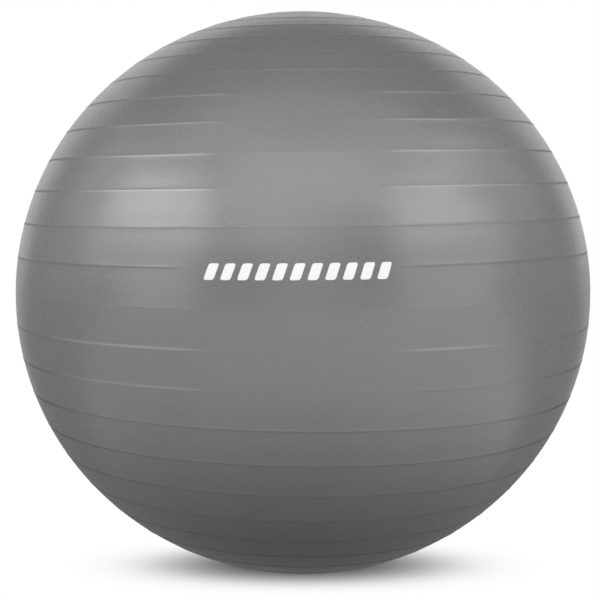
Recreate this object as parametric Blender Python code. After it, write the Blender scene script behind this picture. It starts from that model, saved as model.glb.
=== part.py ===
"""Inflatable exercise ball standing on a floor: a hollow moulded skin with raised
rings of latitude, a valve sleeve set in a hole through the skin, and a push-in plug.

Metres, +Z up. The origin is the centre of the flat patch where the ball rests.
The smooth print panel faces -Y. The valve is on the -X side, turned a little towards +Y.
Azimuths run from -Y towards +X.
"""

import math

import bmesh
import bpy
from mathutils import Vector

# ---------------------------------------------------------------- skin dimensions
RADIUS = 0.325  # half of the nominal 650 mm size, at the widest circle
HEIGHT_RATIO = 0.979  # the ball stands slightly lower than it is wide
PATCH_RADIUS = 0.030  # flat patch on the floor under the ball's own weight
PATCH_INSET = 0.0005  # the patch is this much smaller inside the skin
WALL = 0.0009  # skin thickness when inflated
CENTRE_Z = HEIGHT_RATIO * math.sqrt(RADIUS**2 - PATCH_RADIUS**2)

# Raised rings: latitude in degrees = A + B k + C k^2 + D k^3, ring 0 is the parting line
RING_A, RING_B, RING_C, RING_D = 1.824, 6.927, -0.02618, -0.00311
RING_FIRST, RING_LAST = -12, 13
RINGS_DOWN = range(RING_LAST, RING_FIRST - 1, -1)  # from the top ring to the bottom one
RING_HEIGHT = 0.00030
RING_HALF_WIDTH = 0.0023
SEAM_HEIGHT = 0.00015
SEAM_HALF_WIDTH = 0.0012
RING_ROLL = math.radians(0.134)  # the rings lie this much out of level, higher at +X
RING_FAN = 0.0414  # rings stand this share further apart at +X, and closer at -X

# Two smooth places interrupt this ring: the print panel and the round pad at the valve
BROKEN_RING = 1
BROKEN_RING_MARGIN = math.radians(2.3)  # extra rows of vertices above and below it
PANEL_FROM, PANEL_TO = math.radians(-20.6), math.radians(17.1)
PANEL_FADE = math.radians(1.5)
VALVE_AZIMUTH = math.radians(-108.0)
VALVE_PAD_RADIUS = 0.026
VALVE_PAD_FADE = 0.004

# Hole through the skin
SKIN_HOLE_RADIUS = 0.0113
HOLE_CUTTER_DEPTH = 0.016

SEGMENTS = 40  # meridians round the skin
VALVE_EXTRA_MERIDIANS = (1.5, 3.0, 4.5)  # degrees either side of the valve
LATHE_STEPS = 32

# ---------------------------------------------------------------- valve dimensions
# Heights are along the valve axis: 0 is the skin's surface, positive is outwards.
SLEEVE_RIM_RADIUS = 0.0110
SLEEVE_RIM_BEVEL = 0.0003
RIM_TOP = -0.0002  # the flat rim sits this far under the skin's crown
SEAT_RADIUS = 0.0088  # recess that takes the plug's head
SEAT_DEPTH = 0.0022
SEAT_FLOOR = RIM_TOP - SEAT_DEPTH

FLANGE_RADIUS = 0.0175
FLANGE_GAP = 0.0012  # between the inner skin and the flange
FLANGE_THICK = 0.0022
FLANGE_TOP = -(WALL + FLANGE_GAP)
FLANGE_BOTTOM = FLANGE_TOP - FLANGE_THICK

TUBE_RADIUS = 0.0085
TUBE_ROOT_FLARE = 0.0020  # the tube is this much thicker just under the flange
TUBE_ROOT_DROP = 0.0010
TUBE_FLARE_DROP = 0.0035
TUBE_END_RADIUS = TUBE_RADIUS - 0.0006
TUBE_END_BEVEL = 0.0005
SLEEVE_LENGTH = 0.022
BORE_RADIUS = 0.0052
BORE_BEVEL = 0.0008

FIT_GAP = 0.0003  # between the plug's head and the seat's floor
HEAD_RADIUS = 0.0084
HEAD_THICK = 0.0016
HEAD_UNDER = SEAT_FLOOR + FIT_GAP
HEAD_TOP = HEAD_UNDER + HEAD_THICK
HEAD_TOP_BEVEL = 0.0004
HEAD_UNDER_BEVEL = 0.0002
DOME_HEIGHT = 0.0006
# (share of the head's radius, share of the dome's height)
DOME_POINTS = ((0.0, 1.0), (0.45, 0.86), (0.78, 0.45))

STEM_RADIUS = 0.0045
STEM_ROOT_FLARE = 0.0005
STEM_ROOT_DROP = 0.0010
BARB_DEPTHS = (0.0075, 0.0125, 0.0175)  # under the head
BARB_RADIUS = 0.0049
BARB_RISE = 0.0006  # length of the step out from the stem
BARB_LAND = 0.0005  # length at full radius
BARB_END = 0.0022  # where the taper back to the neck ends
BARB_NECK_RADIUS = STEM_RADIUS - 0.0002
PLUG_LENGTH = 0.0240  # from the skin's surface to the tip
TIP_RADIUS = 0.0038
TIP_FLARE = 0.0003
TIP_TAPER = 0.0008
CORE_RADIUS = 0.0024  # blind hole up the plug from its tip
CORE_END_SHARE = 0.85  # it narrows to this share of its radius
CORE_SHOULDER_DROP = 0.0035
CORE_END_DROP = 0.0030


# ---------------------------------------------------------------- skin geometry
def ring_latitude(k):
    return math.radians(RING_A + RING_B * k + RING_C * k * k + RING_D * k**3)


def skin_direction(latitude, azimuth):
    """Unit vector of a ring position on a sphere, after the rings' roll and fan."""
    x = math.cos(latitude) * math.sin(azimuth)
    y = -math.cos(latitude) * math.cos(azimuth)
    z = math.sin(latitude)
    x, z = (
        x * math.cos(RING_ROLL) - z * math.sin(RING_ROLL),
        x * math.sin(RING_ROLL) + z * math.cos(RING_ROLL),
    )
    return Vector((x, y, z * (1.0 + RING_FAN * x))).normalized()


def skin_normal(latitude, azimuth):
    unit = skin_direction(latitude, azimuth)
    return Vector((unit.x, unit.y, unit.z / HEIGHT_RATIO)).normalized()


def skin_point(latitude, azimuth, lift=0.0):
    """A point on the skin, in world coordinates, lifted along the surface normal."""
    unit = skin_direction(latitude, azimuth)
    point = Vector((unit.x, unit.y, unit.z * HEIGHT_RATIO)) * RADIUS
    return point + skin_normal(latitude, azimuth) * lift + Vector((0.0, 0.0, CENTRE_Z))


VALVE_PLACE = (ring_latitude(BROKEN_RING), VALVE_AZIMUTH)
VALVE_POINT = skin_point(*VALVE_PLACE)
VALVE_NORMAL = skin_normal(*VALVE_PLACE)


def smooth_step(value):
    value = min(max(value, 0.0), 1.0)
    return value * value * (3.0 - 2.0 * value)


def ring_share(k, latitude, azimuth):
    """Share of its height that a ring has: 0 in a smooth place, 1 where it is full."""
    if k != BROKEN_RING:
        return 1.0
    wrapped = (azimuth + math.pi) % (2 * math.pi) - math.pi
    outside_panel = max(PANEL_FROM - wrapped, wrapped - PANEL_TO)
    from_valve = (skin_point(latitude, azimuth) - VALVE_POINT).length
    return smooth_step(outside_panel / PANEL_FADE) * smooth_step(
        (from_valve - VALVE_PAD_RADIUS) / VALVE_PAD_FADE
    )


# ---------------------------------------------------------------- helpers
def material(name, colour, roughness):
    made = bpy.data.materials.new(name)
    made.use_nodes = True
    shader = made.node_tree.nodes["Principled BSDF"]
    shader.inputs["Base Color"].default_value = (*colour, 1.0)
    shader.inputs["Roughness"].default_value = roughness
    made.diffuse_color = (*colour, 1.0)
    return made


def make_object(name, bm, surface):
    mesh = bpy.data.meshes.new(name)
    bm.to_mesh(mesh)
    bm.free()
    mesh.materials.append(surface)
    made = bpy.data.objects.new(name, mesh)
    bpy.context.scene.collection.objects.link(made)
    return made


def place_at_valve(obj):
    """Put the origin on the skin at the valve, with local +Z pointing outwards."""
    obj.location = VALVE_POINT
    obj.rotation_mode = "QUATERNION"
    obj.rotation_quaternion = VALVE_NORMAL.to_track_quat("Z", "Y")


def shade(obj, sharp_degrees):
    obj.data.shade_smooth()
    obj.data.set_sharp_from_angle(angle=math.radians(sharp_degrees))


def lathe(name, profile, surface):
    """A turned solid about the valve axis. The profile is a closed loop of (radius, z)."""
    bm = bmesh.new()
    angles = [2 * math.pi * j / LATHE_STEPS for j in range(LATHE_STEPS)]
    loops = []
    for radius, z in profile:
        turns = angles if radius > 0.0 else [0.0]  # a point on the axis is one vertex
        loops.append(
            [bm.verts.new((radius * math.cos(a), radius * math.sin(a), z)) for a in turns]
        )
    for first, second in zip(loops, loops[1:] + loops[:1]):
        if len(first) == 1 and len(second) == 1:
            continue
        for j in range(LATHE_STEPS):
            n = (j + 1) % LATHE_STEPS
            corners = (
                first[j % len(first)],
                second[j % len(second)],
                second[n % len(second)],
                first[n % len(first)],
            )
            bm.faces.new(list(dict.fromkeys(corners)))  # a triangle next to the axis
    bmesh.ops.recalc_face_normals(bm, faces=bm.faces)
    made = make_object(name, bm, surface)
    place_at_valve(made)
    shade(made, sharp_degrees=35)
    return made


# ---------------------------------------------------------------- ball_shell
def meridians():
    """Azimuths of the skin's vertices, closer together beside the valve."""
    azimuths = [2 * math.pi * j / SEGMENTS for j in range(SEGMENTS)]
    azimuths += [
        (VALVE_AZIMUTH + sign * math.radians(step)) % (2 * math.pi)
        for step in VALVE_EXTRA_MERIDIANS
        for sign in (-1, 1)
    ]
    return sorted(azimuths)


def patch_circle(bm, radius, z, azimuths):
    return [bm.verts.new((radius * math.sin(a), -radius * math.cos(a), z)) for a in azimuths]


def outer_rows(bm, azimuths):
    """Rows of vertices from the top down: each ring's crest between its two edges."""
    rows = []
    for k in RINGS_DOWN:
        middle = ring_latitude(k)
        half = (SEAM_HALF_WIDTH if k == 0 else RING_HALF_WIDTH) / RADIUS
        height = SEAM_HEIGHT if k == 0 else RING_HEIGHT
        offsets = [half, 0.0, -half]
        if k == BROKEN_RING:
            offsets = [BROKEN_RING_MARGIN, *offsets, -BROKEN_RING_MARGIN]
        for offset in offsets:
            latitude = middle + offset
            row = []
            for azimuth in azimuths:
                lift = height * ring_share(k, latitude, azimuth) if offset == 0.0 else 0.0
                row.append(bm.verts.new(skin_point(latitude, azimuth, lift)))
            rows.append(row)
    rows.append(patch_circle(bm, PATCH_RADIUS, 0.0, azimuths))
    return rows


def inner_rows(bm, azimuths):
    rows = [
        [bm.verts.new(skin_point(ring_latitude(k), azimuth, -WALL)) for azimuth in azimuths]
        for k in RINGS_DOWN
    ]
    rows.append(patch_circle(bm, PATCH_RADIUS - PATCH_INSET, WALL, azimuths))
    return rows


def close_surface(bm, rows, pole):
    """Faces over rows listed from the top down, with a fan at the pole and a flat patch.

    They face away from the ball's centre where the rows run anticlockwise seen from above.
    """
    count = len(rows[0])
    for upper, lower in zip(rows, rows[1:]):
        for j in range(count):
            n = (j + 1) % count
            bm.faces.new((upper[j], lower[j], lower[n], upper[n]))
    for j in range(count):
        bm.faces.new((pole, rows[0][j], rows[0][(j + 1) % count]))
    bm.faces.new(list(reversed(rows[-1])))


def build_ball_shell(surface):
    azimuths = meridians()
    bm = bmesh.new()
    rows = outer_rows(bm, azimuths)
    close_surface(bm, rows, pole=bm.verts.new(skin_point(math.pi / 2, 0.0)))
    rows = [list(reversed(row)) for row in inner_rows(bm, azimuths)]
    close_surface(bm, rows, pole=bm.verts.new(skin_point(math.pi / 2, 0.0, -WALL)))
    shell = make_object("ball_shell", bm, surface)
    shade(shell, sharp_degrees=30)
    return shell


def cut_valve_hole(shell, surface):
    bm = bmesh.new()
    bmesh.ops.create_cone(
        bm,
        cap_ends=True,
        cap_tris=False,
        segments=LATHE_STEPS,
        radius1=SKIN_HOLE_RADIUS,
        radius2=SKIN_HOLE_RADIUS,
        depth=HOLE_CUTTER_DEPTH,
    )
    cutter = make_object("valve_hole_cutter", bm, surface)
    place_at_valve(cutter)
    cutter.hide_render = True
    cutter.display_type = "WIRE"
    hole = shell.modifiers.new("valve_hole", "BOOLEAN")
    hole.operation = "DIFFERENCE"
    hole.solver = "EXACT"
    hole.object = cutter


# ---------------------------------------------------------------- valve_sleeve
def build_valve_sleeve(surface):
    rim_edge = RIM_TOP - SLEEVE_RIM_BEVEL
    profile = [
        (SEAT_RADIUS + SLEEVE_RIM_BEVEL, RIM_TOP),
        (SLEEVE_RIM_RADIUS - SLEEVE_RIM_BEVEL, RIM_TOP),
        (SLEEVE_RIM_RADIUS, rim_edge),
        (SLEEVE_RIM_RADIUS, FLANGE_TOP),
        (FLANGE_RADIUS, FLANGE_TOP),
        (FLANGE_RADIUS, FLANGE_BOTTOM),
        (TUBE_RADIUS + TUBE_ROOT_FLARE, FLANGE_BOTTOM - TUBE_ROOT_DROP),
        (TUBE_RADIUS, FLANGE_BOTTOM - TUBE_FLARE_DROP),
        (TUBE_END_RADIUS, -SLEEVE_LENGTH + TUBE_END_BEVEL),
        (TUBE_END_RADIUS - TUBE_END_BEVEL, -SLEEVE_LENGTH),
        (BORE_RADIUS, -SLEEVE_LENGTH),
        (BORE_RADIUS, SEAT_FLOOR - BORE_BEVEL),
        (BORE_RADIUS + BORE_BEVEL, SEAT_FLOOR),
        (SEAT_RADIUS, SEAT_FLOOR),
        (SEAT_RADIUS, rim_edge),
    ]
    lathe("valve_sleeve", profile, surface)


# ---------------------------------------------------------------- valve_plug
def build_valve_plug(surface):
    profile = [
        (HEAD_RADIUS * reach, HEAD_TOP + DOME_HEIGHT * rise) for reach, rise in DOME_POINTS
    ]
    profile += [
        (HEAD_RADIUS - HEAD_TOP_BEVEL, HEAD_TOP),
        (HEAD_RADIUS, HEAD_TOP - HEAD_TOP_BEVEL),
        (HEAD_RADIUS, HEAD_UNDER + HEAD_UNDER_BEVEL),
        (HEAD_RADIUS - HEAD_UNDER_BEVEL, HEAD_UNDER),
        (STEM_RADIUS + STEM_ROOT_FLARE, HEAD_UNDER),
        (STEM_RADIUS, HEAD_UNDER - STEM_ROOT_DROP),
    ]
    for depth in BARB_DEPTHS:
        barb_top = HEAD_UNDER - depth
        profile += [
            (STEM_RADIUS, barb_top + BARB_RISE),
            (BARB_RADIUS, barb_top),
            (BARB_RADIUS, barb_top - BARB_LAND),
            (BARB_NECK_RADIUS, barb_top - BARB_END),
        ]
    profile += [
        (TIP_RADIUS + TIP_FLARE, -PLUG_LENGTH + TIP_TAPER),
        (TIP_RADIUS, -PLUG_LENGTH),
        (CORE_RADIUS, -PLUG_LENGTH),
        (CORE_RADIUS * CORE_END_SHARE, HEAD_UNDER - CORE_SHOULDER_DROP),
        (0.0, HEAD_UNDER - CORE_END_DROP),
    ]
    lathe("valve_plug", profile, surface)


# ---------------------------------------------------------------- build
for old in list(bpy.data.objects):
    bpy.data.objects.remove(old, do_unlink=True)

skin_grey = material("soft_vinyl_grey", colour=(0.235, 0.235, 0.235), roughness=0.45)
sleeve_grey = material("valve_vinyl_grey", colour=(0.17, 0.17, 0.17), roughness=0.40)
plug_white = material("plug_plastic_white", colour=(0.80, 0.80, 0.78), roughness=0.35)

ball_shell = build_ball_shell(skin_grey)
cut_valve_hole(ball_shell, sleeve_grey)
build_valve_sleeve(sleeve_grey)
build_valve_plug(plug_white)
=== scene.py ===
"""An exercise ball with a valve and a row of printed bars, in a white studio.

Metres, +Z up. The print faces the camera at -Y, left is -X, and the origin is at the
centre of the ball's flat patch on the floor. Azimuth is 0 at the front (-Y) and grows
to the right; latitude is 0 on the ball's equator.
"""

import math

import bmesh
import bpy
import numpy as np
from mathutils import Matrix, Vector


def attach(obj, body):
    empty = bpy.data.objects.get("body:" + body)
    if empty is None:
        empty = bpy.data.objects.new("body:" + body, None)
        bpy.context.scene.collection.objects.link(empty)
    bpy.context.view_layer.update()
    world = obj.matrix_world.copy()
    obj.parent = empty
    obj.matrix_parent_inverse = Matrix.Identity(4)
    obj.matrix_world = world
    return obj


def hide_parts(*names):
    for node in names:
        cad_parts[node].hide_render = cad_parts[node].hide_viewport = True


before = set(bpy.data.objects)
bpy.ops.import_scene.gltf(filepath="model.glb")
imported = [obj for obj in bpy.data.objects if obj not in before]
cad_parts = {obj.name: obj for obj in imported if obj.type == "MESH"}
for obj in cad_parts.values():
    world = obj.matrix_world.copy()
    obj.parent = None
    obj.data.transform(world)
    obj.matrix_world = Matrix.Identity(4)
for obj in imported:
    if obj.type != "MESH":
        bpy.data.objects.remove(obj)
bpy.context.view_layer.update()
scene = bpy.context.scene
scene.view_settings.view_transform = "Standard"
scene.view_settings.look = "None"
scene.view_settings.exposure = 0.0
scene.view_settings.gamma = 1.0

# ------------------------------------------------------------------ the ball's form
RADIUS = 0.325
HEIGHT_RATIO = 0.979  # the ball sags to this share of its round height
PATCH_RADIUS = 0.030
WALL = 0.0009
INNER_PATCH_INSET = 0.0005
LAST_LATITUDE = -math.acos(PATCH_RADIUS / RADIUS)
CENTRE_Z = -HEIGHT_RATIO * RADIUS * math.sin(LAST_LATITUDE)

# ring k lies at a latitude in degrees given by this cubic in k, constant term first
RING_CUBIC = (1.824, 6.927, -0.02618, -0.00311)
RING_FIRST, RING_LAST = -12, 13
NO_RING = 99  # marks a station between the rings
RING_HEIGHT, RING_HALF_WIDTH = 0.00026, 0.0021
# ring 0 is the seam, and its crest is marked less strongly than a full ring's
SEAM_HEIGHT, SEAM_HALF_WIDTH = 0.00010, 0.0011
SEAM_FULL_HEIGHT = SEAM_HEIGHT * 2.5
# the rings spread towards the ball's sides, except near its top and bottom
RING_SPREAD = 0.0127
SPREAD_END, SPREAD_FADE = math.radians(80), math.radians(15)
RING_ROLL = math.radians(0.134)
RING_FAN = 0.0414

# stations across a ring in half widths, and between two rings in shares of the gap
RING_STATIONS = (-1.0, -0.72, -0.48, -0.24, 0.0, 0.24, 0.48, 0.72, 1.0)
GAP_STATIONS = (0.23, 0.41, 0.59, 0.77)
TOP_STATIONS = (0.3, 0.6, 0.85)
BOTTOM_STATION = 0.6
COLUMN_STEP = 1.5  # degrees of azimuth
INNER_STEP, INNER_LATITUDE_STEP = 6.0, 5.0  # degrees, on the coarser inner sheet

# the smooth front panel that interrupts ring 1
PANEL_FROM, PANEL_TO = math.radians(-20.5), math.radians(17.2)
PANEL_FADE = math.radians(1.5)
# rings in this range keep only a share of their height across the middle of the front
FRONT_RINGS = (-2, 6)
FRONT_HALF, FRONT_FADE, FRONT_SHARE = math.radians(13.5), math.radians(7.5), 0.30

# ring number: how much painted shade darkens its crest, all round
PAINTED_SHADE_CRESTS = {1: 0.24, 2: 0.06, -3: 0.08, -4: 0.10, -5: 0.08, -6: 0.05}
# ring number: how much a painted highlight lightens its crest, on the two sides of the front
PAINTED_HIGHLIGHT_CRESTS = {6: 0.22, 5: 0.30, 4: 0.50, 3: 1.00, -1: 0.50, -2: 0.36}
# ring number: how much painted shade darkens its crest towards the ball's two sides
OUTER_SHADE_CRESTS = {-1: 0.12, -2: 0.35, -3: 0.32, -4: 0.12}
# where the painted highlights and painted shade fade, in degrees from the front: (where it is
# 0, width to where it is 1)
HIGHLIGHT_IN, HIGHLIGHT_OUT = (13, 8), (56, -14)
HIGHLIGHT_OUT_BELOW_RIGHT = (44, -18)
OUTER_IN, OUTER_OUT = (46, 16), (112, -20)
RING_3_OUT, RING_3_GAIN, RING_3_UPPER = (46, -14), 1.1, 0.12
RING_1_OUT, RING_1_LEAST, RING_1_UPPER = (60, -26), 0.25, 0.34
# FLANK_OFFSET marks where a crest's upper flank begins, which takes its own painted highlight
# or painted shade
FLANK_OFFSET = 0.0004  # radians from a crest's middle to where its flank's tone changes
# the painted shade at a shallow angle and the matte line on the crests show least at the
# equator: least share, and its fade in degrees of latitude
STEEP_LEAST, STEEP_IN = 0.35, (10, 18)

VALVE_AZIMUTH = math.radians(-108.0)
VALVE_PAD_RADIUS, VALVE_PAD_FADE = 0.026, 0.006  # smooth skin round the valve
HOLE_RADIUS = 0.0113
BLOCK_REACH = 0.0185  # the grid gives way to the hole's rings this far above and below
BLOCK_HALF_COLUMNS = 2  # and this many columns to each side
HOLE_STEPS = 7
INNER_CLEARANCE = 0.08  # radians of latitude without coarse rows round the valve


def ring_latitude(k):
    constant, linear, square, cube = RING_CUBIC
    return math.radians(constant + linear * k + square * k * k + cube * k**3)


def eased(value, start, width):
    """0 at start and 1 a width further on, eased; a negative width runs downwards."""
    share = np.clip((value - start) / width, 0.0, 1.0)
    return share * share * (3.0 - 2.0 * share)


def wrapped(azimuth):
    """Azimuth brought within half a turn of the front."""
    return (azimuth + math.pi) % (2 * math.pi) - math.pi


def skin_points(latitude, azimuth, lift):
    """Skin positions lifted along the normal, and the normals, for scalars or arrays."""
    latitude, azimuth, lift = np.broadcast_arrays(
        np.asarray(latitude, float), np.asarray(azimuth, float), np.asarray(lift, float)
    )
    calm = eased(np.abs(latitude), SPREAD_END, -SPREAD_FADE)
    latitude = latitude * (1.0 + RING_SPREAD * np.sin(azimuth) ** 2 * calm)
    x = np.cos(latitude) * np.sin(azimuth)
    y = -np.cos(latitude) * np.cos(azimuth)
    z = np.sin(latitude)
    x, z = (
        x * math.cos(RING_ROLL) - z * math.sin(RING_ROLL),
        x * math.sin(RING_ROLL) + z * math.cos(RING_ROLL),
    )
    unit = np.stack([x, y, z * (1.0 + RING_FAN * x)], -1)
    unit /= np.linalg.norm(unit, axis=-1, keepdims=True)
    point = unit * [1.0, 1.0, HEIGHT_RATIO] * RADIUS
    normal = unit / [1.0, 1.0, HEIGHT_RATIO]
    normal /= np.linalg.norm(normal, axis=-1, keepdims=True)
    return point + normal * lift[..., None] + [0.0, 0.0, CENTRE_Z], normal


# the valve's own frame: its middle on ring 1, its +Z out of the ball
VALVE_POINT, VALVE_NORMAL = map(Vector, skin_points(ring_latitude(1), VALVE_AZIMUTH, 0.0))
VALVE_TURN = VALVE_NORMAL.to_track_quat("Z", "Y").to_matrix().to_4x4()
VALVE_MATRIX = Matrix.Translation(VALVE_POINT) @ VALVE_TURN


def panel_mask(azimuth, points):
    """0 on the front panel and the valve's pad, 1 where ring 1 is full."""
    turn = wrapped(azimuth)
    front = eased(np.maximum(PANEL_FROM - turn, turn - PANEL_TO), 0.0, PANEL_FADE)
    away = np.linalg.norm(points - np.array(VALVE_POINT), axis=-1)
    return front * eased(away, VALVE_PAD_RADIUS, VALVE_PAD_FADE)


def front_mask(azimuth, rings):
    """How much of their height the rings keep: less across the middle of the front."""
    outside = eased(np.abs(wrapped(azimuth)), FRONT_HALF, FRONT_FADE)
    share = FRONT_SHARE + (1.0 - FRONT_SHARE) * outside
    crossing = (rings >= FRONT_RINGS[0]) & (rings <= FRONT_RINGS[1]) & (rings != 1)
    return np.where(crossing[:, None], share, 1.0)


def crest_light_and_shade(azimuth, latitude, rings):
    """Painted shade (positive) or painted highlight (negative) on each ring's crest."""
    turn = wrapped(azimuth)
    left, right = turn < 0, turn > 0
    aside = np.degrees(np.abs(turn))
    row_ring = rings[:, None]

    def per_row(table):
        return np.array([table.get(int(k), 0.0) for k in rings])[:, None]

    # below the middle the painted highlight lines are shorter on the right, or missing
    highlight_reach = eased(aside, *HIGHLIGHT_IN) * eased(aside, *HIGHLIGHT_OUT)
    shorter = highlight_reach * eased(aside, *HIGHLIGHT_OUT_BELOW_RIGHT)
    highlight_reach = np.where((row_ring == -1) & right, shorter, highlight_reach)
    highlight_reach = np.where((row_ring == -2) & right, 0.0, highlight_reach)

    # ring 3's painted highlight lies mostly on its lower flank, and is stronger on the left
    painted_highlight = per_row(PAINTED_HIGHLIGHT_CRESTS)
    stronger = (1.0 + RING_3_GAIN * eased(aside, *RING_3_OUT)) * painted_highlight
    painted_highlight = np.where((row_ring == 3) & left, stronger, painted_highlight)
    upper = (row_ring == 3) & (latitude > ring_latitude(3) - FLANK_OFFSET)
    painted_highlight = np.where(upper, np.where(left, RING_3_UPPER, 0.0), painted_highlight)

    # ring 1's painted shade is darkest on its upper flank, and fades towards the sides
    dark = per_row(PAINTED_SHADE_CRESTS)
    upper = (row_ring == 1) & (latitude > ring_latitude(1) + FLANK_OFFSET)
    dark = np.where(upper, dark + RING_1_UPPER, dark)
    fade = RING_1_LEAST + (1.0 - RING_1_LEAST) * eased(aside, *RING_1_OUT)
    dark = dark * np.where(row_ring == 1, fade, 1.0)

    # painted shade on the crests towards the ball's two sides
    outer = per_row(OUTER_SHADE_CRESTS) * eased(aside, *OUTER_IN) * eased(aside, *OUTER_OUT)
    return dark + outer - painted_highlight * highlight_reach


def onto_skin(u, v, depth):
    """The skin's point over (u, v) in the valve's plane, depth metres under the surface."""
    local = VALVE_MATRIX @ Vector((u, v, 0.0))
    # in a space scaled so that the ball is round, solve where the valve's axis meets it
    to_round = Vector((1.0, 1.0, 1.0 / HEIGHT_RATIO))
    start = (local - Vector((0.0, 0.0, CENTRE_Z))) * to_round
    along = VALVE_NORMAL * to_round
    reach = RADIUS - depth
    square, half_linear = along.dot(along), start.dot(along)
    constant = start.dot(start) - reach * reach
    root = math.sqrt(half_linear * half_linear - square * constant)
    return local + VALVE_NORMAL * ((-half_linear + root) / square)


def make_object(bm, name, sharp_degrees=None):
    """Turn a bmesh into a linked object, smooth but for edges over the given angle."""
    mesh = bpy.data.meshes.new(name)
    bm.to_mesh(mesh)
    bm.free()
    obj = bpy.data.objects.new(name, mesh)
    scene.collection.objects.link(obj)
    if sharp_degrees is not None:
        mesh.shade_smooth()
        mesh.set_sharp_from_angle(angle=math.radians(sharp_degrees))
    return obj


# ------------------------------------------------------------------ the skin
def skin_stations():
    """Outer stations from the top down: (latitude, height there, ring number)."""
    found = []
    for k in range(RING_LAST, RING_FIRST - 1, -1):
        half = SEAM_HALF_WIDTH if k == 0 else RING_HALF_WIDTH
        height = SEAM_HEIGHT if k == 0 else RING_HEIGHT
        for share in RING_STATIONS:
            lift = height * (1 + math.cos(math.pi * share)) / 2
            found.append((ring_latitude(k) + share * half / RADIUS, lift, k))
    middles = [ring_latitude(k) for k in range(RING_LAST, RING_FIRST - 1, -1)]
    top, bottom = middles[0], middles[-1]
    plain = [
        high + (low - high) * share
        for high, low in zip(middles, middles[1:])
        for share in GAP_STATIONS
    ]
    plain += [top + (math.pi / 2 - top) * share for share in TOP_STATIONS]
    plain.append(bottom + (LAST_LATITUDE - bottom) * BOTTOM_STATION)
    found += [(latitude, 0.0, NO_RING) for latitude in plain]
    found.sort(key=lambda item: -item[0])
    return found


def add_face(bm, corners, inward):
    bm.faces.new(tuple(reversed(corners)) if inward else tuple(corners))


def add_hole(bm, loop, depth, inward):
    """Bridge the outline of the valve's block to a round hole, and return its edge loop."""
    inverse = VALVE_MATRIX.inverted()
    flat = [inverse @ v.co for v in loop]
    angles = np.array([math.atan2(p.y, p.x) for p in flat])
    turn = 1.0 if np.sin(np.diff(angles)).sum() > 0 else -1.0
    even = turn * 2 * math.pi * np.arange(len(loop)) / len(loop)
    offset = math.atan2(np.sin(angles - even).sum(), np.cos(angles - even).sum())
    previous = loop
    for step in range(1, HOLE_STEPS + 1):
        share = step / HOLE_STEPS
        current = []
        for p, angle in zip(flat, even + offset):
            u = p.x + (HOLE_RADIUS * math.cos(angle) - p.x) * share
            v = p.y + (HOLE_RADIUS * math.sin(angle) - p.y) * share
            current.append(bm.verts.new(onto_skin(u, v, depth)))
        for i in range(len(loop)):
            n = (i + 1) % len(loop)
            add_face(bm, (previous[i], previous[n], current[n], current[i]), inward)
        previous = current
    return previous


def build_sheet(bm, stations, azimuths, inward, first_row, last_row, first_column):
    """One sheet of the skin, open at the bottom, with a round hole inside the valve's block.

    The block runs from first_row to last_row and across the columns from first_column.
    Returns the bottom ring and the hole's loop.
    """
    depth = WALL if inward else 0.0
    span = 2 * BLOCK_HALF_COLUMNS
    latitudes, lifts, rings = (np.array(column) for column in zip(*stations))
    latitude, azimuth = np.meshgrid(latitudes, azimuths, indexing="ij")
    lift = np.repeat(lifts[:, None], len(azimuths), 1)
    if not inward:
        base, _ = skin_points(latitude, azimuth, 0.0)
        mask = np.where(rings[:, None] == 1, panel_mask(azimuth, base), 1.0)
        lift = lift * mask * front_mask(azimuth, rings)
    points, _ = skin_points(latitude, azimuth, lift - depth)

    # the fields that the skin's material reads; crest holds painted shade and painted
    # highlights, rim the matte line with painted shade seen at a shallow angle
    share = lift / np.where(rings[:, None] == 0, SEAM_FULL_HEIGHT, RING_HEIGHT)
    away = eased(np.degrees(np.abs(latitude)), *STEEP_IN)
    fields = {
        "ring": share,
        "crest": share * crest_light_and_shade(azimuth, latitude, rings),
        "rim": share * (STEEP_LEAST + (1.0 - STEEP_LEAST) * away),
    }
    floats = bm.verts.layers.float
    layers = [(floats.get(name) or floats.new(name), field) for name, field in fields.items()]

    rows, columns = points.shape[:2]
    grid = [[None] * columns for _ in range(rows)]
    for i in range(rows):
        for j in range(columns):
            if first_row < i < last_row and 0 < (j - first_column) % columns < span:
                continue
            grid[i][j] = bm.verts.new(points[i, j])
            for layer, field in layers:
                grid[i][j][layer] = field[i, j]
    for i in range(rows - 1):
        for j in range(columns):
            n = (j + 1) % columns
            if first_row <= i < last_row and (j - first_column) % columns < span:
                continue
            add_face(bm, (grid[i][j], grid[i + 1][j], grid[i + 1][n], grid[i][n]), inward)
    crown_point, _ = skin_points(math.pi / 2, 0.0, -depth)
    crown = bm.verts.new(crown_point)
    for j in range(columns):
        add_face(bm, (crown, grid[0][j], grid[0][(j + 1) % columns]), inward)

    # the block's outline, walked round once
    last_column = first_column + span
    height = last_row - first_row
    outline = [(first_row, first_column + s) for s in range(span)]
    outline += [(first_row + s, last_column) for s in range(height)]
    outline += [(last_row, last_column - s) for s in range(span)]
    outline += [(last_row - s, first_column) for s in range(height)]
    loop = [grid[i][j % columns] for i, j in outline]
    return grid[rows - 1], add_hole(bm, loop, depth, inward)


def add_patch(bm, ring, radius, z, inward):
    """Close a sheet's bottom ring with a flat disc at height z."""
    angles = [math.atan2(v.co.x, -v.co.y) for v in ring]

    def circle(r):
        return [bm.verts.new((r * math.sin(a), -r * math.cos(a), z)) for a in angles]

    following = [(j + 1) % len(ring) for j in range(len(ring))]
    edge = circle(radius)
    for j, n in enumerate(following):
        add_face(bm, (ring[j], edge[j], edge[n], ring[n]), inward)
    middle = bm.verts.new((0.0, 0.0, z))
    half = circle(radius * 0.5)
    for j, n in enumerate(following):
        add_face(bm, (edge[j], half[j], half[n], edge[n]), inward)
        add_face(bm, (half[j], middle, half[n]), inward)


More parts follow.
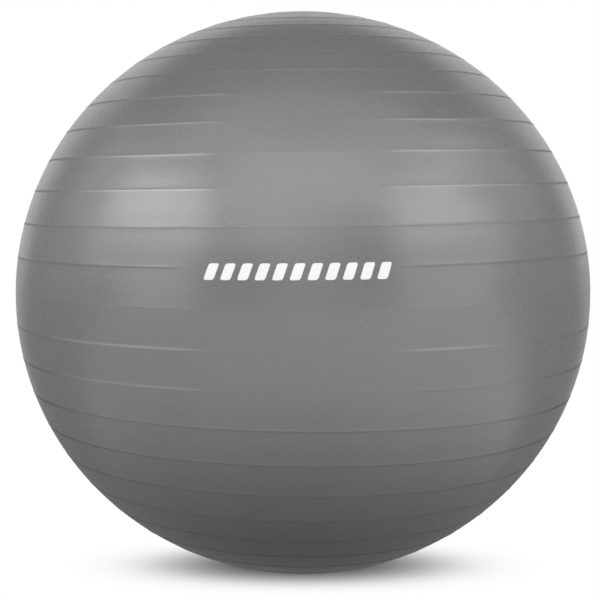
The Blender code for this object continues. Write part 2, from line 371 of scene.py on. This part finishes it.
def make_skin():
    """The ball's outer and inner sheets, joined round the valve's hole."""
    bm = bmesh.new()
    valve_latitude = ring_latitude(1)
    valve_degrees = math.degrees(VALVE_AZIMUTH) % 360
    stations = skin_stations()
    latitudes = [item[0] for item in stations]
    reach = BLOCK_REACH / RADIUS
    block = [i for i, l in enumerate(latitudes) if abs(l - valve_latitude) < reach]
    first_row, last_row = block[0], block[-1]
    outer_ring, outer_hole = build_sheet(
        bm,
        stations,
        np.radians(np.arange(0, 360, COLUMN_STEP)),
        inward=False,
        first_row=first_row,
        last_row=last_row,
        first_column=round(valve_degrees / COLUMN_STEP) - BLOCK_HALF_COLUMNS,
    )

    # the inner sheet is coarser, but has the same block so that the hole's edges match
    coarse = np.radians(np.arange(-80, 86, INNER_LATITUDE_STEP))
    inner_latitudes = sorted(
        set(latitudes[first_row : last_row + 1])
        | {l for l in coarse if abs(l - valve_latitude) > INNER_CLEARANCE},
        reverse=True,
    )
    block_columns = range(-BLOCK_HALF_COLUMNS, BLOCK_HALF_COLUMNS + 1)
    turns = [n * COLUMN_STEP for n in block_columns]
    turns += list(np.arange(INNER_STEP, 355, INNER_STEP))
    inner_azimuths = sorted({round((valve_degrees + s) % 360, 4) for s in turns})
    block_start = round((valve_degrees - BLOCK_HALF_COLUMNS * COLUMN_STEP) % 360, 4)
    inner_first_row = inner_latitudes.index(latitudes[first_row])
    inner_ring, inner_hole = build_sheet(
        bm,
        [(latitude, 0.0, NO_RING) for latitude in inner_latitudes],
        np.radians(inner_azimuths),
        inward=True,
        first_row=inner_first_row,
        last_row=inner_first_row + last_row - first_row,
        first_column=inner_azimuths.index(block_start),
    )

    for i in range(len(outer_hole)):
        n = (i + 1) % len(outer_hole)
        bm.faces.new((outer_hole[i], outer_hole[n], inner_hole[n], inner_hole[i]))
    add_patch(bm, outer_ring, PATCH_RADIUS, 0.0, inward=False)
    add_patch(bm, inner_ring, PATCH_RADIUS - INNER_PATCH_INSET, WALL, inward=True)
    bmesh.ops.recalc_face_normals(bm, faces=bm.faces)
    return make_object(bm, "ball_skin", sharp_degrees=35)


# ------------------------------------------------------------------ the valve
# heights along the valve's axis, 0 at the skin's surface
RIM_SINK, SEAT_DEPTH = 0.0002, 0.0022
SEAT_FLOOR = -RIM_SINK - SEAT_DEPTH
HEAD_UNDER = SEAT_FLOOR + 0.0003
HEAD_TOP = HEAD_UNDER + 0.0016
FLANGE_TOP = -(WALL + 0.0012)
FLANGE_BOTTOM = FLANGE_TOP - 0.0022
BARB_DEPTHS = (0.0075, 0.0125, 0.0175)  # below the plug's head
# fingernail notch: place and width in radians, depth, and how far out it begins
NOTCH_ANGLE, NOTCH_WIDTH, NOTCH_DEPTH, NOTCH_FROM = 0.9, 0.22, 0.0005, 0.0070
VALVE_SEGMENTS = 96


def arc(centre, radius, start, stop, steps):
    """Points of an arc in the (radius, z) plane, angles in degrees."""
    found = []
    for n in range(steps + 1):
        a = math.radians(start + (stop - start) * n / steps)
        found.append((centre[0] + radius * math.cos(a), centre[1] + radius * math.sin(a)))
    return found


def make_turned(name, profile, reshape=None):
    """A closed solid turned about the valve's axis, from a closed loop of (radius, z).

    reshape(radius, z, angle) may move a point; a point on the axis becomes one vertex.
    """
    bm = bmesh.new()
    loops = []
    for radius, z in profile:
        if radius < 1e-7:
            loops.append([bm.verts.new((0.0, 0.0, z))])
            continue
        ring = []
        for j in range(VALVE_SEGMENTS):
            a = 2 * math.pi * j / VALVE_SEGMENTS
            r, h = reshape(radius, z, a) if reshape else (radius, z)
            ring.append(bm.verts.new((r * math.cos(a), r * math.sin(a), h)))
        loops.append(ring)
    for first, second in zip(loops, loops[1:] + loops[:1]):
        if len(first) == 1 and len(second) == 1:
            continue
        for j in range(VALVE_SEGMENTS):
            n = (j + 1) % VALVE_SEGMENTS
            corners = [first[j % len(first)], second[j % len(second)]]
            if len(second) > 1:
                corners.append(second[n])
            if len(first) > 1:
                corners.append(first[n])
            bm.faces.new(corners)
    bmesh.ops.recalc_face_normals(bm, faces=bm.faces)
    bm.transform(VALVE_MATRIX)
    return make_object(bm, name, sharp_degrees=38)


def make_sleeve():
    """The sleeve in the hole: a rim, a flange under the skin and a tube into the ball."""
    profile = [
        # rim, and its outer wall down to the flange at the hole's edge
        *arc((0.0091, -RIM_SINK - 0.0003), 0.0003, 180, 90, 4),
        *arc((0.0106, -RIM_SINK - 0.0004), 0.0004, 90, 0, 4),
        (0.0110, FLANGE_TOP + 0.0003),
        (HOLE_RADIUS, FLANGE_TOP),
        # flange
        *arc((0.0170, FLANGE_TOP - 0.0005), 0.0005, 90, 0, 4),
        *arc((0.0170, FLANGE_BOTTOM + 0.0005), 0.0005, 0, -90, 4),
        # tube's outside, narrowing from the flange to the tip
        (0.0118, FLANGE_BOTTOM - 0.0002),
        (0.0102, FLANGE_BOTTOM - 0.0010),
        (0.0091, FLANGE_BOTTOM - 0.0022),
        (0.0086, FLANGE_BOTTOM - 0.0038),
        (0.0082, -0.0150),
        *arc((0.0074, -0.0214), 0.0006, 0, -90, 4),
        *arc((0.0056, -0.0216), 0.0004, 270, 180, 3),
        # bore, then the seat's floor and wall
        (0.0052, -0.0120),
        (0.0052, SEAT_FLOOR - 0.0010),
        *arc((0.0060, SEAT_FLOOR - 0.0008), 0.0008, 180, 90, 4),
        (0.0084, SEAT_FLOOR),
        *arc((0.0085, SEAT_FLOOR + 0.0003), 0.0003, -90, 0, 3),
    ]
    return make_turned("valve_sleeve_moulding", profile)


def nail_notch(radius, z, angle):
    """A shallow fingernail notch in the head's edge."""
    if radius <= NOTCH_FROM or z >= HEAD_TOP - 0.0002:
        return radius, z
    away = math.atan2(math.sin(angle - NOTCH_ANGLE), math.cos(angle - NOTCH_ANGLE))
    return radius - NOTCH_DEPTH * math.exp(-((away / NOTCH_WIDTH) ** 2)), z


def make_plug():
    """The plug: a dished head and a barbed stem, hollow from the tip up."""
    profile = [
        # head's top from the axis outwards
        (0.0, HEAD_TOP + 0.00040),
        (0.0012, HEAD_TOP + 0.00041),
        (0.0026, HEAD_TOP + 0.00046),
        (0.0040, HEAD_TOP + 0.00052),
        (0.0052, HEAD_TOP + 0.00050),
        (0.0064, HEAD_TOP + 0.00034),
        (0.0074, HEAD_TOP + 0.00012),
        # head's edge and underside
        *arc((0.0080, HEAD_TOP - 0.0004), 0.0004, 80, 0, 5),
        (0.0084, HEAD_UNDER + 0.0003),
        *arc((0.0082, HEAD_UNDER + 0.0002), 0.0002, 0, -90, 3),
        (0.0053, HEAD_UNDER),
        *arc((0.0052, HEAD_UNDER - 0.0007), 0.0007, 90, 180, 4),
    ]
    for depth in BARB_DEPTHS:
        z = HEAD_UNDER - depth
        profile += [
            (0.0044, z + 0.0010),
            (0.00445, z + 0.0006),
            *arc((0.0047, z - 0.00005), 0.0002, 80, 0, 3),
            (0.00488, z - 0.0005),
            (0.0046, z - 0.0013),
            (0.0043, z - 0.0022),
        ]
    profile += [
        # stem's tip, then the hollow up to its closed end
        (0.0041, -0.0228),
        *arc((0.0035, -0.0234), 0.0006, 0, -90, 4),
        *arc((0.0027, -0.0237), 0.0003, 270, 180, 3),
        (0.0023, -0.0150),
        (0.0021, HEAD_UNDER - 0.0045),
        (0.0016, HEAD_UNDER - 0.0036),
        (0.0, HEAD_UNDER - 0.0032),
    ]
    return make_turned("valve_plug_moulding", profile, reshape=nail_notch)


# ------------------------------------------------------------------ print
BAR_COUNT = 11
BARS_FROM, BARS_TO = math.radians(-15.05), math.radians(13.4)
BARS_LATITUDE = math.radians(8.12)
BAR_HALF_HEIGHT, BAR_HALF_WIDTH, BAR_SLANT = 0.0078, 0.0049, 0.34
BAR_CORNER, BAR_CORNER_STEPS = 0.0022, 6
BAR_TOP, BAR_BOTTOM = 0.00009, -0.00006  # above and below the skin
BAR_RINGS = (1.0, 0.8, 0.5)  # outlines within a bar, as shares of its size
BAR_HEIGHT_RADIUS = RADIUS * 0.99  # turns a bar's height into latitude


def bar_outline():
    """A slanted rectangle with rounded corners, as (x, y) about its middle."""
    outline = []
    for side_x, side_y, start in ((1, 1, 0), (-1, 1, 90), (-1, -1, 180), (1, -1, 270)):
        for step in range(BAR_CORNER_STEPS + 1):
            a = math.radians(start + 90 * step / BAR_CORNER_STEPS)
            x = side_x * (BAR_HALF_WIDTH - BAR_CORNER) + BAR_CORNER * math.cos(a)
            y = side_y * (BAR_HALF_HEIGHT - BAR_CORNER) + BAR_CORNER * math.sin(a)
            outline.append((x + BAR_SLANT * y, y))
    return outline


def add_bar_side(bm, outline, azimuth, lift):
    """One side of a bar, laid along the skin. Returns its outermost loop."""

    def spot(x, y):
        latitude = BARS_LATITUDE + y / BAR_HEIGHT_RADIUS
        turn = azimuth + x / (RADIUS * math.cos(BARS_LATITUDE))
        return bm.verts.new(skin_points(latitude, turn, lift)[0])

    rings = [[spot(x * share, y * share) for x, y in outline] for share in BAR_RINGS]
    middle = spot(0.0, 0.0)
    count = len(outline)
    for outer, inner in zip(rings, rings[1:]):
        for j in range(count):
            n = (j + 1) % count
            bm.faces.new((outer[j], outer[n], inner[n], inner[j]))
    for j in range(count):
        bm.faces.new((rings[-1][j], rings[-1][(j + 1) % count], middle))
    return rings[0]


def make_print():
    """A row of plain slanted bars in ink, lying on the smooth front panel."""
    bm = bmesh.new()
    outline = bar_outline()
    for i in range(BAR_COUNT):
        azimuth = BARS_FROM + (BARS_TO - BARS_FROM) * i / (BAR_COUNT - 1)
        upper = add_bar_side(bm, outline, azimuth, BAR_TOP)
        lower = add_bar_side(bm, outline, azimuth, BAR_BOTTOM)
        for j in range(len(outline)):
            n = (j + 1) % len(outline)
            bm.faces.new((upper[j], upper[n], lower[n], lower[j]))
    bmesh.ops.recalc_face_normals(bm, faces=bm.faces)
    return make_object(bm, "print_bars", sharp_degrees=40)


# ------------------------------------------------------------------ node helpers
class Nodes:
    """A short way to lay out a node tree, which is emptied first."""

    def __init__(self, owner):
        owner.use_nodes = True
        self.tree = owner.node_tree
        self.tree.nodes.clear()

    def add(self, kind):
        return self.tree.nodes.new(kind)

    def put(self, socket, value):
        """Feed a socket with a number, a colour tuple or another socket."""
        if isinstance(value, tuple):
            socket.default_value = (*value, 1.0)
        elif isinstance(value, (int, float)):
            socket.default_value = value
        else:
            self.tree.links.new(value, socket)

    def math(self, operation, *values, clamp=False):
        node = self.add("ShaderNodeMath")
        node.operation = operation
        node.use_clamp = clamp
        for socket, value in zip(node.inputs, values):
            self.put(socket, value)
        return node.outputs["Value"]

    def product(self, *values):
        total = values[0]
        for value in values[1:]:
            total = self.math("MULTIPLY", total, value)
        return total

    def length(self, x, y):
        return self.math("SQRT", self.math("ADD", self.product(x, x), self.product(y, y)))

    def separate(self, vector):
        node = self.add("ShaderNodeSeparateXYZ")
        self.put(node.inputs[0], vector)
        return node.outputs

    def eased(self, value, low, high):
        """0 at low and 1 at high, eased."""
        node = self.add("ShaderNodeMapRange")
        node.interpolation_type = "SMOOTHSTEP"
        node.inputs["From Min"].default_value = low
        node.inputs["From Max"].default_value = high
        self.put(node.inputs["Value"], value)
        return node.outputs["Result"]

    def band(self, value, low, high, width):
        """Factors that are 1 between two edges of the given softness; None is no edge."""
        edges = []
        if low is not None:
            edges.append(self.eased(value, low - width / 2, low + width / 2))
        if high is not None:
            edges.append(self.eased(value, high + width / 2, high - width / 2))
        return edges

    def bearing(self, x, y):
        """Degrees round from the camera's side, positive to the right, and their size."""
        turn = self.math("ARCTAN2", x, self.math("MULTIPLY", y, -1.0))
        turn = self.math("MULTIPLY", turn, 180 / math.pi)
        return turn, self.math("ABSOLUTE", turn)

    def add_lamp(self, name, total, *factors):
        """Add a lamp, the product of its factors, to the total."""
        lamp = self.product(*factors)
        lamp.node.name = name
        return self.math("ADD", lamp, total)

    def show(self, out, reflected, seen):
        """Show one shader to the camera and the other to everything else."""
        mix = self.add("ShaderNodeMixShader")
        self.put(mix.inputs[0], self.add("ShaderNodeLightPath").outputs["Is Camera Ray"])
        self.put(mix.inputs[1], reflected.outputs[0])
        self.put(mix.inputs[2], seen.outputs[0])
        self.put(out.inputs["Surface"], mix.outputs[0])


class Finish(Nodes):
    """A material with a principled shader, textured in object space."""

    def __init__(self, name):
        self.material = bpy.data.materials.new(name)
        super().__init__(self.material)
        out = self.add("ShaderNodeOutputMaterial")
        self.shader = self.add("ShaderNodeBsdfPrincipled")
        self.put(out.inputs["Surface"], self.shader.outputs["BSDF"])
        self.place = self.add("ShaderNodeTexCoord").outputs["Object"]

    def set(self, name, value):
        self.put(self.shader.inputs[name], value)

    def noise(self, scale, detail, rough=0.55, distortion=0.0):
        node = self.add("ShaderNodeTexNoise")
        node.inputs["Scale"].default_value = scale
        node.inputs["Detail"].default_value = detail
        node.inputs["Roughness"].default_value = rough
        node.inputs["Distortion"].default_value = distortion
        self.put(node.inputs["Vector"], self.place)
        return node.outputs["Fac"]

    def spread(self, value, low, high, tail=0.3):
        """Map a noise from between its two tails to low..high."""
        node = self.add("ShaderNodeMapRange")
        node.inputs["From Min"].default_value = tail
        node.inputs["From Max"].default_value = 1.0 - tail
        node.inputs["To Min"].default_value = low
        node.inputs["To Max"].default_value = high
        self.put(node.inputs["Value"], value)
        return node.outputs["Result"]

    def mix(self, share, first, second):
        node = self.add("ShaderNodeMix")
        node.data_type = "RGBA"
        for index, value in ((0, share), (6, first), (7, second)):
            self.put(node.inputs[index], value)
        return node.outputs[2]

    def bump(self, height, strength, distance, normal=None):
        node = self.add("ShaderNodeBump")
        node.inputs["Strength"].default_value = strength
        node.inputs["Distance"].default_value = distance
        self.put(node.inputs["Height"], height)
        if normal is not None:
            self.put(node.inputs["Normal"], normal)
        return node.outputs["Normal"]


# ------------------------------------------------------------------ materials
SKIN_ALBEDO, SKIN_CONTRAST = 0.100, 0.20
SKIN_ROUGH, SKIN_BLOTCH, SKIN_SPECKLE = 0.28, 0.025, 0.035
RING_MATTE = 0.12  # roughness added on the crests
# the second number is painted shade: the crests' colour darkened where they are seen at a
# shallow angle
RIM_MATTE, RIM_PAINTED_SHADE = 0.24, 0.30  # the same, and darkening, at a shallow angle
SHALLOW_FROM, SHALLOW_TO = 0.30, 0.58
PEBBLE = dict(scale=430.0, detail=2.0, rough=0.5, distortion=0.2)  # the skin's grain


def skin_finish():
    """Dark satin vinyl with a pebbled grain, and painted shade and painted highlights on the
    crests of the rings.
    """
    m = Finish("skin_vinyl")
    # pigment: broad mottle and fine speckle
    broad = m.noise(scale=9.0, detail=3.0, rough=0.5)
    fine = m.noise(scale=420.0, detail=3.0, rough=0.6)
    mottle = m.spread(broad, low=-0.030, high=0.030)
    shade = m.math("ADD", mottle, m.spread(fine, low=-0.022, high=0.022))
    pigment = m.mix(
        m.math("ADD", shade, 0.5, clamp=True),
        (SKIN_ALBEDO * (1.0 - SKIN_CONTRAST),) * 3,
        (SKIN_ALBEDO * (1.0 + SKIN_CONTRAST),) * 3,
    )

    # painted shade and painted highlights on each crest, and a matte line with painted shade
    # where it is seen at a shallow angle
    fields = {}
    for name in ("ring", "crest", "rim"):
        node = m.add("ShaderNodeAttribute")
        node.attribute_name = name
        fields[name] = node.outputs["Fac"]
    facing = m.add("ShaderNodeLayerWeight")
    facing.inputs["Blend"].default_value = 0.5
    shallow = m.eased(facing.outputs["Facing"], low=SHALLOW_FROM, high=SHALLOW_TO)
    rim = m.math("MULTIPLY", fields["rim"], shallow)
    painted_light_and_shade = m.math("ADD", fields["crest"], m.math("MULTIPLY", rim, RIM_PAINTED_SHADE))
    shaded = m.add("ShaderNodeVectorMath")
    shaded.operation = "SCALE"
    m.put(shaded.inputs[0], pigment)
    m.put(shaded.inputs["Scale"], m.math("SUBTRACT", 1.0, painted_light_and_shade))
    m.set("Base Color", shaded.outputs["Vector"])

    # gloss: uneven in soft blotches and in the grain, duller on the crests
    blotch = m.noise(scale=16.0, detail=4.0, rough=0.6, distortion=0.3)
    blotch = m.spread(blotch, low=SKIN_ROUGH - SKIN_BLOTCH, high=SKIN_ROUGH + SKIN_BLOTCH)
    speckle = m.noise(scale=520.0, detail=2.0, rough=0.5)
    speckle = m.spread(speckle, low=-SKIN_SPECKLE, high=SKIN_SPECKLE)
    rough = m.math("ADD", blotch, speckle, clamp=True)
    line = m.math("MULTIPLY", m.math("POWER", fields["ring"], 3.0), RING_MATTE)
    line = m.math("ADD", line, m.math("MULTIPLY", rim, RIM_MATTE))
    m.set("Roughness", m.math("ADD", rough, line, clamp=True))

    # grain: a pebbled skin with a finer tooth on it
    pebble = m.noise(**PEBBLE)
    tooth = m.noise(scale=1500.0, detail=2.0, rough=0.6)
    toothed = m.bump(tooth, strength=0.20, distance=0.00006)
    m.set("Normal", m.bump(pebble, strength=0.45, distance=0.00018, normal=toothed))
    m.set("Specular IOR Level", 0.5)
    return m.material


def plain_finish(name, cloud, dark, light, gloss, rough, grain, relief, tail=0.3):
    """A clouded colour, an uneven gloss and a fine grain.

    cloud, gloss and grain are noises; rough and relief are (low, high) roughness and
    (strength, distance) of the bump; tail trims the cloud.
    """
    m = Finish(name)
    share = m.spread(m.noise(**cloud), low=0.0, high=1.0, tail=tail)
    m.set("Base Color", m.mix(share, dark, light))
    m.set("Roughness", m.spread(m.noise(**gloss), *rough))
    m.set("Normal", m.bump(m.noise(**grain), *relief))
    return m


def sleeve_finish():
    return plain_finish(
        "sleeve_vinyl",
        cloud=dict(scale=160.0, detail=3.0),
        dark=(0.135, 0.135, 0.137),
        light=(0.175, 0.175, 0.177),
        gloss=dict(scale=700.0, detail=2.0),
        rough=(0.34, 0.46),
        grain=dict(scale=1800.0, detail=2.0),
        relief=(0.3, 0.00005),
    ).material


def plug_finish():
    m = plain_finish(
        "plug_plastic",
        cloud=dict(scale=120.0, detail=4.0, rough=0.6),
        dark=(0.72, 0.715, 0.69),
        light=(0.80, 0.80, 0.785),
        gloss=dict(scale=900.0, detail=3.0),
        rough=(0.28, 0.42),
        grain=dict(scale=1500.0, detail=2.0),
        relief=(0.25, 0.00005),
    )
    m.set("Subsurface Weight", 0.12)
    m.shader.inputs["Subsurface Radius"].default_value = (0.0012, 0.0012, 0.0010)
    m.set("Subsurface Scale", 1.0)
    return m.material


def ink_finish():
    return plain_finish(
        "print_ink",
        cloud=dict(scale=900.0, detail=4.0, rough=0.65),
        tail=0.25,
        dark=(0.47, 0.47, 0.47),
        light=(0.52, 0.52, 0.52),
        gloss=dict(scale=500.0, detail=3.0),
        rough=(0.38, 0.52),
        grain=PEBBLE,
        relief=(0.4, 0.00012),
    ).material


# ------------------------------------------------------------------ floor and world
# What the ball reflects of the studio, name: (bearing from, to, edge softness,
# height from, to, edge softness, strength, on both sides). Degrees; None is no edge.
LAMPS = {
    "left_box_top": (-86, -43, 12, 30, 39, 7, 9.91, False),
    "left_box_near_top": (-74, -45, 12, 36, 46, 8, 3.15, False),
    "left_box_middle": (-90, -42, 12, 22, 30, 6, 8.21, False),
    "left_box_skirt": (-92, -41, 7, 7, 22, 7, 3.05, False),
    "left_box_foot": (-72, -41, 7, None, 7, 6, 3.59, False),
    "left_box_inner": (-47, -36, 7, 20, 36, 8, 2.71, False),
    "right_box_top": (37.5, 76, 6, 30, 40, 6, 6.72, False),
    "right_box_middle": (37.5, 85, 6, 22, 30, 6, 6.96, False),
    "right_box_skirt": (37, 88, 5, 7, 22, 7, 2.61, False),
    "right_box_foot": (36, 76, 6, None, 7, 6, 3.45, False),
    "veil_left": (-100, -40, 10, 38, 47, 10, 0.74, False),
    "veil_right": (40, 100, 10, 38, 49, 10, 3.27, False),
    "veil_high": (38, 92, 12, 47, 64, 10, 2.00, True),
    "side_wall_left": (-116, -86, 10, None, 20, 12, 0.75, False),
    "side_wall_left_high": (-116, -86, 10, 18, 44, 12, 1.61, False),
    "side_wall_right": (84, 116, 10, None, 20, 12, 0.48, False),
    "side_wall_right_high": (84, 116, 10, 18, 44, 12, 1.43, False),
    "front_panel": (None, 38, 8, 34, 50, 9, 4.14, True),
    "front_panel_high": (None, 38, 12, 50, 62, 9, 4.04, True),
    "front_panel_low_left": (-30, 0, 8, 22, 34, 9, 4.05, False),
    "front_panel_low_right": (0, 20, 8, 22, 34, 9, 2.05, False),
    "ceiling": (None, 92, 24, 62, None, 12, 1.47, True),
    "camera_column": (None, 12, 8, None, 22, 8, 1.15, True),
    "gap_left": (-40, -12, 6, None, 24, 8, 0.02, False),
    "gap_right": (12, 38, 6, None, 24, 8, 0.00, False),
    "back_corner": (112, 136, 12, None, 38, 7, 0.29, True),
    "back_wall_low": (136, None, 12, None, 14, 7, 1.18, True),
    "back_wall_high": (136, None, 12, 14, 38, 7, 1.15, True),
}
# What the ball reflects of the floor, name: (bearing from, to, edge softness in degrees,
# distance where it starts, softness in metres, strength, on both sides).
FLOOR_LIGHT = {
    "floor_near": (None, None, 10, -1.0, 0.1, 0.25, True),
    "floor_front_middle": (None, 30, 16, 0.48, 0.4, 1.10, True),
    "floor_front_left": (-80, -30, 16, 0.48, 0.4, 0.72, False),
    "floor_front_right": (30, 80, 16, 0.48, 0.4, 1.21, False),
    "floor_close_left": (-80, -20, 16, 0.30, 0.25, 0.09, False),
    "floor_close_right": (20, 80, 16, 0.30, 0.25, 0.18, False),
    "floor_side": (80, 130, 16, 0.6, 0.4, 0.03, True),
    "floor_front_far": (None, 95, 20, 1.6, 1.2, 0.09, True),
    "floor_back": (135, None, 16, 0.8, 0.6, 0.37, True),
}
# the contact shadow seen by the camera: (metres from its middle, lightness of the floor)
SHADOW_STEPS = (
    (0.0, 0.03), (0.030, 0.10), (0.046, 0.24), (0.057, 0.38), (0.068, 0.55),
    (0.079, 0.73), (0.089, 0.86), (0.100, 0.945), (0.112, 0.985), (0.130, 1.0),
)
SHADOW_STRETCH, SHADOW_FORWARD = 2.3, 0.014  # along X, and towards the camera
FLOOR_HALF_SIZE, FLOOR_DROP = 40.0, 0.0004


def make_world():
    """White for the camera; for what the ball reflects, soft boxes and panels."""
    world = bpy.data.worlds.new("studio")
    scene.world = world
    nodes = Nodes(world)
    out = nodes.add("ShaderNodeOutputWorld")
    way = nodes.separate(nodes.add("ShaderNodeTexCoord").outputs["Generated"])
    turn, either = nodes.bearing(way["X"], way["Y"])
    height = nodes.math("MULTIPLY", nodes.math("ARCSINE", way["Z"]), 180 / math.pi)
    total = 0.0
    for name, lamp in LAMPS.items():
        left, right, side_soft, low, high, height_soft, strength, both = lamp
        sides = nodes.band(either if both else turn, left, right, side_soft)
        heights = nodes.band(height, low, high, height_soft)
        total = nodes.add_lamp(name, total, *sides, *heights, strength)
    reflected = nodes.add("ShaderNodeBackground")
    nodes.put(reflected.inputs["Strength"], total)
    white = nodes.add("ShaderNodeBackground")
    nodes.put(white.inputs["Strength"], 1.0)
    nodes.put(white.inputs["Color"], (1, 1, 1))
    nodes.show(out, reflected=reflected, seen=white)


def contact_shadow(nodes, x, y):
    """The floor's emission as the camera sees it."""
    across = nodes.math("DIVIDE", x, SHADOW_STRETCH)
    along = nodes.math("ADD", y, SHADOW_FORWARD)
    reach = nodes.length(across, along)
    last = SHADOW_STEPS[-1][0]
    node = nodes.add("ShaderNodeValToRGB")
    nodes.put(node.inputs[0], nodes.math("DIVIDE", reach, last))
    ramp = node.color_ramp
    ramp.interpolation = "LINEAR"
    for n, (at, light) in enumerate(SHADOW_STEPS):
        # a new ramp already has two stops
        stop = ramp.elements[n] if n < 2 else ramp.elements.new(at / last)
        stop.position = at / last
        stop.color = (light, light, light, 1.0)
    seen = nodes.add("ShaderNodeEmission")
    nodes.put(seen.inputs["Color"], node.outputs["Color"])
    return seen


def floor_glow(nodes, x, y):
    """The floor's emission as the ball reflects it."""
    radius = nodes.length(x, y)
    turn, either = nodes.bearing(x, y)
    total = 0.0
    for name, patch in FLOOR_LIGHT.items():
        left, right, side_soft, start, start_soft, strength, both = patch
        starts = nodes.band(radius, start, None, start_soft)
        sides = nodes.band(either if both else turn, left, right, side_soft)
        total = nodes.add_lamp(name, total, *starts, *sides, strength)
    lit = nodes.add("ShaderNodeEmission")
    nodes.put(lit.inputs["Strength"], total)
    return lit


def make_floor():
    """White to the camera with a soft contact shadow, and its own light on the ball."""
    bm = bmesh.new()
    bmesh.ops.create_grid(bm, x_segments=2, y_segments=2, size=FLOOR_HALF_SIZE)
    obj = make_object(bm, "studio_floor")
    material = bpy.data.materials.new("studio_floor")
    nodes = Nodes(material)
    out = nodes.add("ShaderNodeOutputMaterial")
    place = nodes.separate(nodes.add("ShaderNodeNewGeometry").outputs["Position"])
    seen = contact_shadow(nodes, place["X"], place["Y"])
    reflected = floor_glow(nodes, place["X"], place["Y"])
    nodes.show(out, reflected=reflected, seen=seen)
    obj.data.materials.append(material)
    obj.location.z = -FLOOR_DROP


# ------------------------------------------------------------------ camera
SENSOR_WIDTH, FOCAL_LENGTH = 36.0, 75.744  # millimetres
CAMERA_DISTANCE = 4.5055 * RADIUS  # from the ball's centre
CAMERA_ELEVATION = math.radians(4.580)
CAMERA_YAW, CAMERA_PITCH = math.radians(-0.1307), math.radians(-4.9038)


def make_camera():
    """A camera in front of the ball, slightly above its centre."""
    data = bpy.data.cameras.new("camera")
    data.sensor_width = SENSOR_WIDTH
    data.lens = FOCAL_LENGTH
    data.clip_start, data.clip_end = 0.01, 100.0
    camera = bpy.data.objects.new("camera", data)
    scene.collection.objects.link(camera)
    camera.location = (
        0.0,
        -CAMERA_DISTANCE * math.cos(CAMERA_ELEVATION),
        CENTRE_Z + CAMERA_DISTANCE * math.sin(CAMERA_ELEVATION),
    )
    level = math.cos(CAMERA_PITCH)
    forward = Vector(
        (math.sin(CAMERA_YAW) * level, math.cos(CAMERA_YAW) * level, math.sin(CAMERA_PITCH))
    )
    right = Vector((math.cos(CAMERA_YAW), -math.sin(CAMERA_YAW), 0.0))
    axes = Matrix((right, right.cross(forward), -forward)).transposed()
    camera.rotation_mode = "QUATERNION"
    camera.rotation_quaternion = axes.to_quaternion()
    scene.camera = camera


# ------------------------------------------------------------------ assembly
# maker, finish, the frame's part it rides on, the piece it replaces, its material slot
PIECES = (
    (make_skin, skin_finish, "ball", "ball_shell", "skin_vinyl"),
    (make_sleeve, sleeve_finish, "ball", "valve_sleeve", "sleeve_vinyl"),
    (make_plug, plug_finish, "plug", "valve_plug", "plug_plastic"),
    (make_print, ink_finish, "ball", None, None),
)
for make, finish, carrier, replaced, slot in PIECES:
    piece = make()
    piece.data.materials.append(finish())
    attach(piece, carrier)
    if replaced:
        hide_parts(replaced)

make_floor()
make_world()
make_camera()
